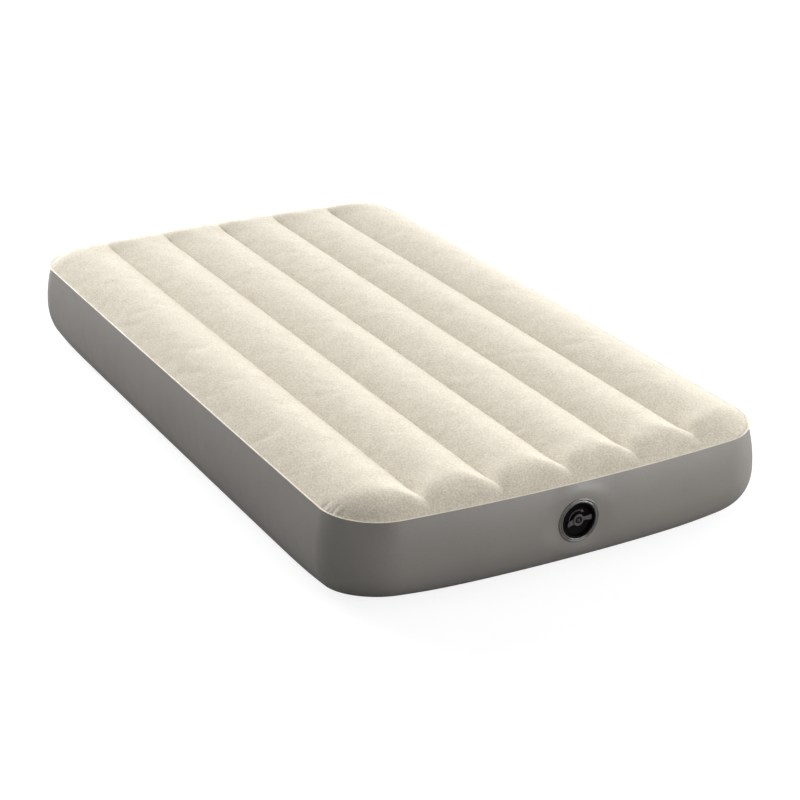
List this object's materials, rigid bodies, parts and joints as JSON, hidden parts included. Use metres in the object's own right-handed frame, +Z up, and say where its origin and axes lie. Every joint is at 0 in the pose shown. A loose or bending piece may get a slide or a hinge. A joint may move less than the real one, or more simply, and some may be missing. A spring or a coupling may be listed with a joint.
{
  "type": "air mattress",
  "caption": "Single-high twin air mattress, inflated, with lengthwise rolls held by inner fibre beams and a screw-in valve with a flip-open inflation plug in one end.",
  "frame": {"origin": "centre of the mattress's length and width, on the floor it lies on", "axes": "+Z up, +Y along the length away from the valve, +X across the width; the valve is in the -Y end wall"},
  "size_m": [1.0198, 1.829, 0.22],
  "materials": {
    "flocked_top": "short cream flocking on vinyl",
    "side_vinyl": "satin warm grey vinyl",
    "base_vinyl": "satin grey vinyl with a fine grip emboss",
    "beam_fibre": "packed white fibres",
    "beam_tape": "white vinyl tape",
    "clear_collar": "translucent soft vinyl",
    "black_plastic": "fine-textured moulded black",
    "plug_vinyl": "soft dark grey vinyl",
    "seal_rubber": "matte black rubber"
  },
  "bodies": {
    "envelope": {"top_sheet": "flocked_top", "bottom_sheet": "base_vinyl", "side_band": "side_vinyl", "beam_1_web": "beam_fibre", "beam_1_top_tape": "beam_tape", "beam_1_bottom_tape": "beam_tape", "beam_2_web": "beam_fibre", "beam_2_top_tape": "beam_tape", "beam_2_bottom_tape": "beam_tape", "beam_3_web": "beam_fibre", "beam_3_top_tape": "beam_tape", "beam_3_bottom_tape": "beam_tape", "beam_4_web": "beam_fibre", "beam_4_top_tape": "beam_tape", "beam_4_bottom_tape": "beam_tape", "beam_5_web": "beam_fibre", "beam_5_top_tape": "beam_tape", "beam_5_bottom_tape": "beam_tape", "valve_collar": "clear_collar", "threaded_socket": "black_plastic"},
    "sealing_ring": {"cap_gasket": "seal_rubber"},
    "main_cap": {"main_cap": "black_plastic", "strap_foot": "plug_vinyl", "flap_pin": "black_plastic"},
    "inflation_plug": {"inflation_plug": "plug_vinyl", "plug_seal": "seal_rubber"},
    "check_flap": {"check_flap": "seal_rubber"}
  },
  "joints": [
    {"name": "cap_lift", "type": "slide", "parent": "envelope", "child": "sealing_ring", "axis": [0, -1, 0], "range_m": [0, 0.0091]},
    {"name": "cap_turn", "type": "hinge", "parent": "sealing_ring", "child": "main_cap", "pos_m": [0, -0.9135, 0.11], "axis": [0, -1, 0], "range_deg": [0, 540]},
    {"name": "plug_strap", "type": "hinge", "parent": "main_cap", "child": "inflation_plug", "pos_m": [0.0293, -0.9093, 0.11], "axis": [0, 0, 1], "range_deg": [0, 130]},
    {"name": "flap_swing", "type": "hinge", "parent": "main_cap", "child": "check_flap", "pos_m": [0, -0.8923, 0.1245], "axis": [1, 0, 0], "range_deg": [0, 60], "stiffness_Nm_per_rad": 0.0005}
  ],
  "couplings": [
    {"joint": "cap_lift", "follows": "cap_turn", "m_per_rad": 0.00095493}
  ]
}
